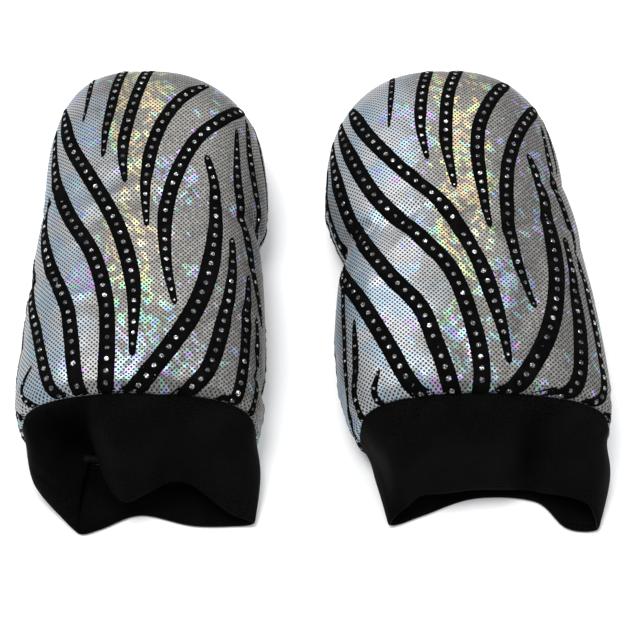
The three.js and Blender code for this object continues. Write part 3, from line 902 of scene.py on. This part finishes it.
cuff_pieces = {}
for cover in COVERS:
    def place(u, v):
        # v runs from the seam down the outer layer, round the hem, and up inside
        arc = np.clip((v - OUTER_SHARE) / HEM_SHARE, 0, 1)
        down = np.minimum(v, 1 - v) / OUTER_SHARE
        spread = (CUFF_WALL + CUFF_SPACE) / 2
        lift = spread * np.cos(arc * math.pi)
        down = np.clip(down, 0, 1)
        wave = 0.35 * soft_noise(u * CUFF_ROUND, down * 30.0, 15.0, 3.0) * np.sin(down * math.pi)
        point = cuff_wall(cover, u, down, lift + wave)
        hem = cuff_wall(cover, u, np.ones_like(u), np.zeros_like(u))
        back = cuff_wall(cover, u, np.full_like(u, 0.94), np.zeros_like(u))
        past = hem - back
        past /= np.maximum(np.linalg.norm(past, axis=1, keepdims=True), 1e-9)
        return point + past * (spread * np.sin(arc * math.pi))[:, None]

    cuff = cuff_pieces[cover] = sewn_patch(cover + "_cuff", 200, 60, place, wrap=True)
    thicken(cuff, CUFF_WALL, 0.0)
    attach(cuff, cover + "_cover")
    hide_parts(cover + "_cuff_band")

knit, t, skin = new_finish("black_satin_knit")
uv = node(t, "ShaderNodeUVMap")
flat = node(t, "ShaderNodeMapping")
flat.inputs["Scale"].default_value = (CUFF_ROUND, CUFF_STRIP, 1.0)
parts = node(t, "ShaderNodeSeparateXYZ")
link(t, (uv.outputs[0], flat.inputs[0]), (flat.outputs[0], parts.inputs[0]))
ribs = calc(t, "ABSOLUTE", calc(t, "SINE", calc(t, "MULTIPLY", parts.outputs[0], math.pi / 0.62)))
courses = calc(t, "SINE", calc(t, "MULTIPLY", parts.outputs[1], 2 * math.pi / 0.5))
stitches = calc(t, "MULTIPLY_ADD", courses, 0.3, ribs)
lint = noise(t, flat.outputs[0], 1.3, 4.0)
lint.inputs["Roughness"].default_value = 0.7
# painted highlight and wear: a lighter line along the hem's fold
off_fold = calc(t, "ABSOLUTE", calc(t, "SUBTRACT", parts.outputs[1], CUFF_STRIP / 2))
fold_sheen_and_wear = smooth_range(t, off_fold, 0.4, 1.1, 1.0, 0.0)
black = mix_colour(t, smooth_range(t, lint.outputs[0], 0.4, 0.66),
                   (0.0006, 0.0006, 0.0006, 1.0), (0.0058, 0.0056, 0.0055, 1.0))
# painted sheen: lighter patches at random over the knit
painted_sheen_patches = noise(t, flat.outputs[0], 0.045, 3.0)
black = mix_colour(t, smooth_range(t, painted_sheen_patches.outputs[0], 0.42, 0.7, 0.0, 0.4), black, (0.0052, 0.0050, 0.0049, 1.0))
# the hem's fold gets its painted highlight and wear here
edged = mix_colour(t, calc(t, "MULTIPLY", fold_sheen_and_wear, 0.8), black, (0.024, 0.024, 0.025, 1.0))
link(t, (edged, skin.inputs["Base Color"]),
     (smooth_range(t, lint.outputs[0], 0.3, 0.7, 0.46, 0.62), skin.inputs["Roughness"]))
skin.inputs["Specular IOR Level"].default_value = 0.02
add_bump(t, skin, calc(t, "MULTIPLY_ADD", lint.outputs[0], 1.6, stitches), 0.7, 0.0005)
for cuff in cuff_pieces.values():
    cuff.data.materials.append(knit)


# ---------------------------------------------------------------------------
# Cuff seam. The cuff's strip of knit is closed into a tube by one seam down
# its right side. Its overlocked edges stand inside the cuff as a narrow
# raised band, bound by loops of thread.
def thread_run(name, path, radius, sides=5, closed=False):
    """A thread of the given radius along a path of points, all in millimetres."""
    path = np.asarray(path)
    if closed:
        ahead = np.roll(path, -1, 0) - np.roll(path, 1, 0)
    else:
        ahead = np.gradient(path, axis=0)
    ahead /= np.linalg.norm(ahead, axis=1, keepdims=True)
    side = np.cross(ahead, [0.13, 0.21, 0.97])
    side /= np.linalg.norm(side, axis=1, keepdims=True)
    up = np.cross(side, ahead)
    last = len(path) if closed else len(path) - 1

    def place(u, v):
        k = np.rint(u * last).astype(int) % len(path)
        a = 2 * math.pi * v
        size = np.full_like(u, radius) if closed else np.where((u < 1e-6) | (u > 1 - 1e-6), 1e-4, radius)
        return path[k] + (side[k] * np.cos(a)[:, None] + up[k] * np.sin(a)[:, None]) * size[:, None]

    return sewn_patch(name, last, sides, place, wrap=True)


def face_out(piece):
    shape = bmesh.new()
    shape.from_mesh(piece.data)
    bmesh.ops.remove_doubles(shape, verts=shape.verts, dist=2e-6)
    bmesh.ops.recalc_face_normals(shape, faces=shape.faces)
    shape.to_mesh(piece.data)
    shape.free()
    piece.data.shade_smooth()
    return piece


thread, t, skin = new_finish("black_thread")
place_in = node(t, "ShaderNodeTexCoord")
twist = node(t, "ShaderNodeTexWave", wave_type="BANDS", bands_direction="DIAGONAL")
twist.inputs["Scale"].default_value = 900.0
twist.inputs["Distortion"].default_value = 1.0
link(t, (place_in.outputs["Object"], twist.inputs["Vector"]))
strand = mix_colour(t, twist.outputs["Fac"], (0.001, 0.001, 0.0011, 1.0), (0.006, 0.006, 0.0065, 1.0))
link(t, (strand, skin.inputs["Base Color"]),
     (smooth_range(t, twist.outputs["Fac"], 0.0, 1.0, 0.5, 0.75), skin.inputs["Roughness"]))
skin.inputs["Specular IOR Level"].default_value = 0.05
add_bump(t, skin, twist.outputs["Fac"], 0.5, 0.0001)

SEAM_WIDTH, SEAM_THICK, SEAM_TURN = 5.0, 1.5, 0.505
for cover in COVERS:
    inside = -((CUFF_WALL + CUFF_SPACE) / 2 + CUFF_WALL / 2 + 0.15 + SEAM_THICK / 2)

    def band(across, down, lift):
        return cuff_wall(cover, SEAM_TURN + across / CUFF_ROUND, down, lift)

    def place(u, v):
        a = 2 * math.pi * u
        across = SEAM_WIDTH / 2 * np.sign(np.cos(a)) * np.abs(np.cos(a)) ** 0.5
        lift = inside + SEAM_THICK / 2 * np.sign(np.sin(a)) * np.abs(np.sin(a)) ** 0.6
        end = np.clip(np.minimum(v, 1 - v) * 40, 0, 1) ** 0.5
        return band(across * (0.15 + 0.85 * end), 0.12 + 0.8 * v, inside + (lift - inside) * (0.05 + 0.95 * end))

    strip = sewn_patch("strip", 16, 40, place, wrap=True)
    shape = bmesh.new()
    shape.from_mesh(strip.data)
    bmesh.ops.holes_fill(shape, edges=[e for e in shape.edges if e.is_boundary], sides=0)
    shape.to_mesh(strip.data)
    shape.free()
    count = 26
    loops = np.linspace(0, count, count * 10 + 1)
    swing = 2 * math.pi * loops
    path = band(np.cos(swing) * (SEAM_WIDTH / 2 + 0.1), 0.14 + 0.76 * loops / count,
                inside + np.sin(swing) * (SEAM_THICK / 2 + 0.08))
    seam = face_out(join([strip, thread_run("loops", path, 0.16)], cover + "_cuff_closing_seam"))
    seam.data.materials.append(thread)
    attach(seam, cover + "_cover")
    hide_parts(cover + "_cuff_seam")


# ---------------------------------------------------------------------------
# Side seam and mouth roll. The panels meet in a seam round the sides and the
# closed end, with its edges turned in between the linings. At the mouth the
# cloth, lining and cuff edges are overlocked together into a soft roll.
for cover in COVERS:
    def place(u, v):
        run = u * 2 * ALONG
        left = run <= ALONG
        along = np.where(left, run, 2 * ALONG - run)
        return on_cloth(cover, np.where(left, 0.0, 2.0 * HALF_TOP), along, -1.7 - 4.2 * v)

    strip = sewn_patch("strip", 2 * ALONG, 4, place)
    thicken(strip, 0.8, 0.0)
    bpy.context.view_layer.update()
    solid = bpy.data.meshes.new_from_object(strip.evaluated_get(bpy.context.evaluated_depsgraph_get()))
    strip.modifiers.clear()
    strip.data = solid
    steps = np.linspace(0, 2 * ALONG, 1200)
    left = steps <= ALONG
    path = on_cloth(cover, np.where(left, 0.0, 2.0 * HALF_TOP), np.where(left, steps, 2 * ALONG - steps),
                    -5.6 + 0.5 * np.cos(steps * 2 * math.pi / 0.8))
    path[:, 2] += 0.55 * np.sin(steps * 2 * math.pi / 0.8)
    seam = face_out(join([strip, thread_run("loops", path, 0.12, 4)], cover + "_side_seam_edges"))
    seam.data.materials.append(thread)
    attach(seam, cover + "_cover")
    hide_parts(cover + "_side_seam")

    def roll_spot(around, angle, fat):
        return on_cloth(cover, around, (2.2 + 2.0 * fat * np.cos(angle)) / ROW, -7.9 - 0.85 * fat * np.sin(angle))

    def place(u, v):
        bulge = 1.0 + 0.06 * np.sin(u * AROUND * 2 * math.pi)
        return roll_spot(u * AROUND, 2 * math.pi * v, bulge)

    roll = sewn_patch("roll", 168, 10, place, wrap=True)
    count = 110
    loops = np.linspace(0, count, count * 9, endpoint=False)
    path = roll_spot(loops / count * AROUND, 2 * math.pi * loops, 1.14)
    mouth = face_out(join([roll, thread_run("loops", path, 0.2, 4, closed=True)], cover + "_mouth_overlock"))
    mouth.data.materials.append(thread)
    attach(mouth, cover + "_cover")
    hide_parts(cover + "_mouth_roll")


# ---------------------------------------------------------------------------
# Linings. Thick black fleece lies inside both panels, cut a little smaller,
# and is caught in the seams. Its pile stands inwards in small soft tufts.
fleece, t, skin = new_finish("black_fleece")
place_in = node(t, "ShaderNodeTexCoord").outputs["Object"]
curls, fibres = node(t, "ShaderNodeTexVoronoi"), noise(t, place_in, 1800.0, 3.0, flat=False)
curls.inputs["Scale"].default_value = 420.0
link(t, (place_in, curls.inputs["Vector"]))
pile_height = calc(t, "MULTIPLY_ADD", curls.outputs["Distance"], -0.8, fibres.outputs[0])
# painted shade: the pile is darker low down between its tufts and lighter on their tops
painted_pile_shade = mix_colour(t, smooth_range(t, pile_height, -0.2, 0.6),
                        (0.002, 0.002, 0.0022, 1.0), (0.014, 0.0138, 0.0145, 1.0))
link(t, (painted_pile_shade, skin.inputs["Base Color"]),
     (smooth_range(t, fibres.outputs[0], 0.3, 0.7, 0.85, 1.0), skin.inputs["Roughness"]))
skin.inputs["Sheen Weight"].default_value = 0.05
skin.inputs["Specular IOR Level"].default_value = 0.04
add_bump(t, skin, pile_height, 0.9, 0.0012)

FLEECE_THICK, FLEECE_BACK = 4.6, -1.7
for cover in COVERS:
    for part, first, width, columns, rows, flat, area in (
            ("top", 0, 2 * HALF_TOP, 90, 110, (0.185, 0.262), 0.043),
            ("bottom", 2 * HALF_TOP, 2 * HALF_BASE, 70, 100, (0.142, 0.258), 0.033)):
        def place(u, v):
            # the back is against the cloth, and the pile faces inwards
            pile = (u > 0.50001) & (u < 0.99999)
            around = first + 0.3 + (width - 0.6) * np.where(u > 0.5, 2 - 2 * u, 2 * u)
            along = 0.25 + (ALONG - 0.25) * v
            a, b = around * COLUMN, along * COLUMN
            tufts = (0.45 * soft_noise(a, b, 2.6, 5.0) + 0.3 * soft_noise(a, b, 5.5, 1.0)) * np.clip(20 * v, 0, 1)
            thin = 1.0 - 0.45 * np.clip((along - ALONG + 6.0) / 6.0, 0, 1)
            edge = np.where(v < 1e-6, 0.5, 0.0)
            depth = np.where(pile, (FLEECE_THICK - tufts) * thin * (1 - edge), FLEECE_THICK * thin * edge)
            point = on_cloth(cover, around, along, FLEECE_BACK - depth)
            point[:, 1] = np.minimum(point[:, 1], 150.3 - depth)
            return point

        lining = sewn_patch(f"{cover}_{part}_fleece", 2 * columns, rows, place, wrap=True)
        lining.data.materials.append(fleece)
        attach(lining, cover + "_cover")
        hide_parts(f"{cover}_{part}_lining")


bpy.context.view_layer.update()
